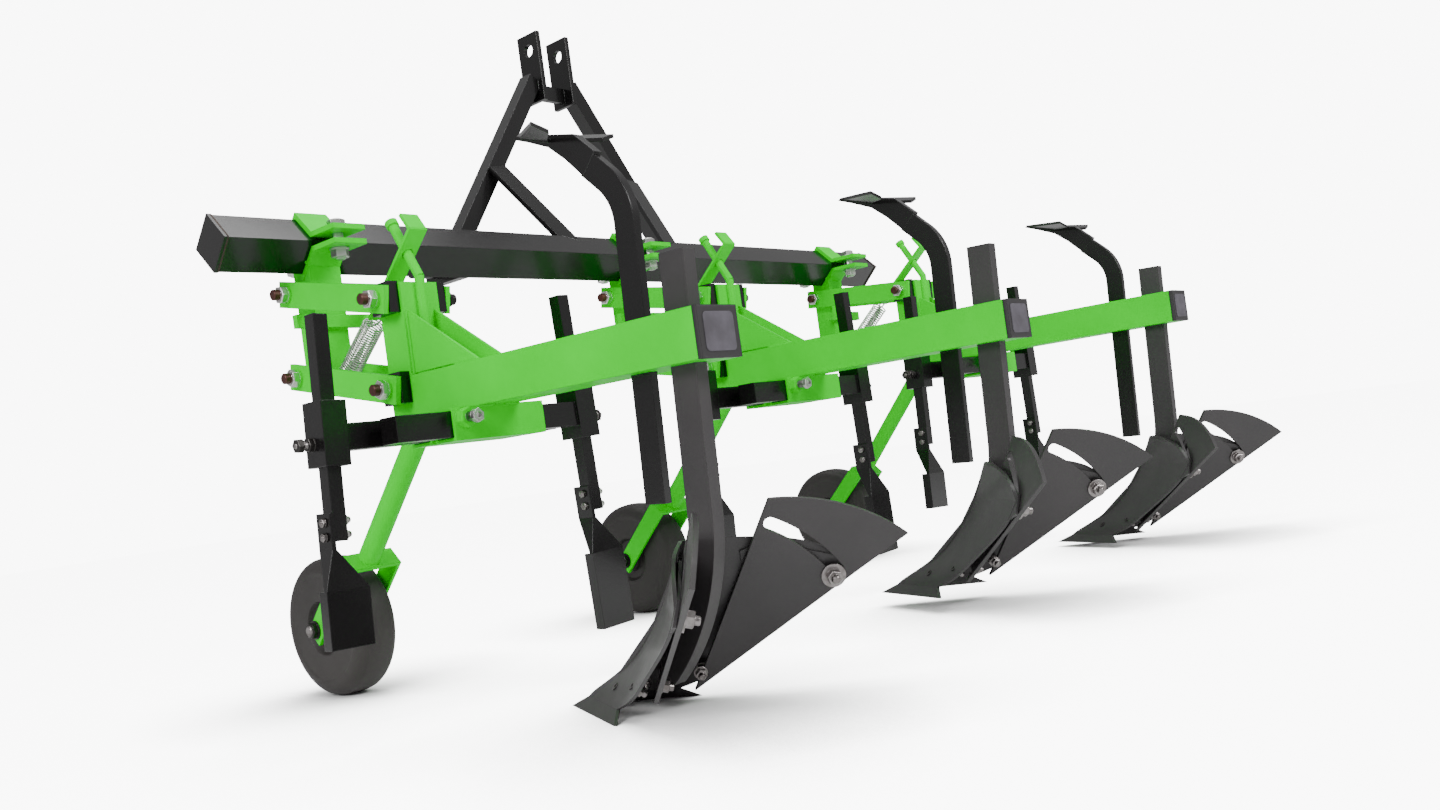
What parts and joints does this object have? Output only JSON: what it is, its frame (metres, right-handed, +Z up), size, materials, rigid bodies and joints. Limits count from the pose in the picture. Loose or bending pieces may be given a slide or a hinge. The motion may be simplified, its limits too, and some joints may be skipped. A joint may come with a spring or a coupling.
{
  "type": "ridger",
  "caption": "Tractor-mounted three-row ridger with sprung row units, depth wheels, side knives, stored tines and winged ridging bodies.",
  "frame": {"origin": "on the floor under the middle of the whole machine", "axes": "+X to the machine's right along the toolbar, +Y forward towards the tractor, +Z up"},
  "size_m": [1.8697, 1.0918, 1.195],
  "materials": {
    "green_paint": "glossy lime-green paint",
    "black_paint": "glossy black paint",
    "dark_steel": "satin dark steel",
    "black_plastic": "matte moulded plastic",
    "zinc": "bright zinc-plated wire",
    "wheel_rubber": "smooth black rubber"
  },
  "bodies": {
    "frame": {"toolbar": "black_paint", "hitch_mast": "black_paint", "hitch_braces": "black_paint", "hitch_arms": "black_paint", "bracket_left": "green_paint", "bracket_middle": "green_paint", "bracket_right": "green_paint"},
    "upper_link_left": {"upper_links_left": "green_paint"},
    "lower_link_left": {"lower_links_left": "green_paint"},
    "row_left": {"beam_left": "green_paint", "pivot_blocks_left": "black_paint", "beam_cap_left": "black_plastic", "spring_left": "zinc", "spring_strap_left": "green_paint", "side_arms_left": "black_paint", "knives_left": "black_paint", "tine_left": "black_paint", "ridger_shank_left": "dark_steel", "ridger_body_left": "dark_steel", "wings_left": "dark_steel", "wheel_fork_left": "green_paint"},
    "wheel_body_left": {"wheel_left": "wheel_rubber"},
    "upper_link_middle": {"upper_links_middle": "green_paint"},
    "lower_link_middle": {"lower_links_middle": "green_paint"},
    "row_middle": {"beam_middle": "green_paint", "pivot_blocks_middle": "black_paint", "beam_cap_middle": "black_plastic", "spring_middle": "zinc", "spring_strap_middle": "green_paint", "side_arms_middle": "black_paint", "knives_middle": "black_paint", "tine_middle": "black_paint", "ridger_shank_middle": "dark_steel", "ridger_body_middle": "dark_steel", "wings_middle": "dark_steel", "wheel_fork_middle": "green_paint"},
    "wheel_body_middle": {"wheel_middle": "wheel_rubber"},
    "upper_link_right": {"upper_links_right": "green_paint"},
    "lower_link_right": {"lower_links_right": "green_paint"},
    "row_right": {"beam_right": "green_paint", "pivot_blocks_right": "black_paint", "beam_cap_right": "black_plastic", "spring_right": "zinc", "spring_strap_right": "green_paint", "side_arms_right": "black_paint", "knives_right": "black_paint", "tine_right": "black_paint", "ridger_shank_right": "dark_steel", "ridger_body_right": "dark_steel", "wings_right": "dark_steel", "wheel_fork_right": "green_paint"},
    "wheel_body_right": {"wheel_right": "wheel_rubber"}
  },
  "joints": [
    {"name": "upper_link_swing_left", "type": "hinge", "parent": "frame", "child": "upper_link_left", "pos_m": [-0.672, 0.358, 0.627], "axis": [-1, 0, 0], "range_deg": [0, 32], "stiffness_Nm_per_rad": 60, "springref_deg": -45.84, "deforming": ["spring_left"]},
    {"name": "lower_link_swing_left", "type": "hinge", "parent": "frame", "child": "lower_link_left", "pos_m": [-0.672, 0.358, 0.499], "axis": [-1, 0, 0], "range_deg": [0, 32]},
    {"name": "row_level_left", "type": "hinge", "parent": "upper_link_left", "child": "row_left", "pos_m": [-0.672, 0.1343, 0.578], "axis": [-1, 0, 0], "range_deg": [-32, 0]},
    {"name": "wheel_spin_left", "type": "hinge", "parent": "row_left", "child": "wheel_body_left", "pos_m": [-0.672, 0.423, 0.11], "axis": [1, 0, 0], "continuous": true},
    {"name": "upper_link_swing_middle", "type": "hinge", "parent": "frame", "child": "upper_link_middle", "pos_m": [0.028, 0.358, 0.627], "axis": [-1, 0, 0], "range_deg": [0, 32], "stiffness_Nm_per_rad": 60, "springref_deg": -45.84, "deforming": ["spring_middle"]},
    {"name": "lower_link_swing_middle", "type": "hinge", "parent": "frame", "child": "lower_link_middle", "pos_m": [0.028, 0.358, 0.499], "axis": [-1, 0, 0], "range_deg": [0, 32]},
    {"name": "row_level_middle", "type": "hinge", "parent": "upper_link_middle", "child": "row_middle", "pos_m": [0.028, 0.13307, 0.584], "axis": [-1, 0, 0], "range_deg": [-32, 0]},
    {"name": "wheel_spin_middle", "type": "hinge", "parent": "row_middle", "child": "wheel_body_middle", "pos_m": [0.028, 0.423, 0.11], "axis": [1, 0, 0], "continuous": true},
    {"name": "upper_link_swing_right", "type": "hinge", "parent": "frame", "child": "upper_link_right", "pos_m": [0.728, 0.358, 0.627], "axis": [-1, 0, 0], "range_deg": [0, 32], "stiffness_Nm_per_rad": 60, "springref_deg": -45.84, "deforming": ["spring_right"]},
    {"name": "lower_link_swing_right", "type": "hinge", "parent": "frame", "child": "lower_link_right", "pos_m": [0.728, 0.358, 0.499], "axis": [-1, 0, 0], "range_deg": [0, 32]},
    {"name": "row_level_right", "type": "hinge", "parent": "upper_link_right", "child": "row_right", "pos_m": [0.728, 0.13016, 0.604], "axis": [-1, 0, 0], "range_deg": [-32, 0]},
    {"name": "wheel_spin_right", "type": "hinge", "parent": "row_right", "child": "wheel_body_right", "pos_m": [0.728, 0.423, 0.11], "axis": [1, 0, 0], "continuous": true}
  ],
  "couplings": [
    {"joint": "lower_link_swing_left", "follows": "upper_link_swing_left", "ratio": 1},
    {"joint": "row_level_left", "follows": "upper_link_swing_left", "ratio": -1},
    {"joint": "lower_link_swing_middle", "follows": "upper_link_swing_middle", "ratio": 1},
    {"joint": "row_level_middle", "follows": "upper_link_swing_middle", "ratio": -1},
    {"joint": "lower_link_swing_right", "follows": "upper_link_swing_right", "ratio": 1},
    {"joint": "row_level_right", "follows": "upper_link_swing_right", "ratio": -1}
  ]
}
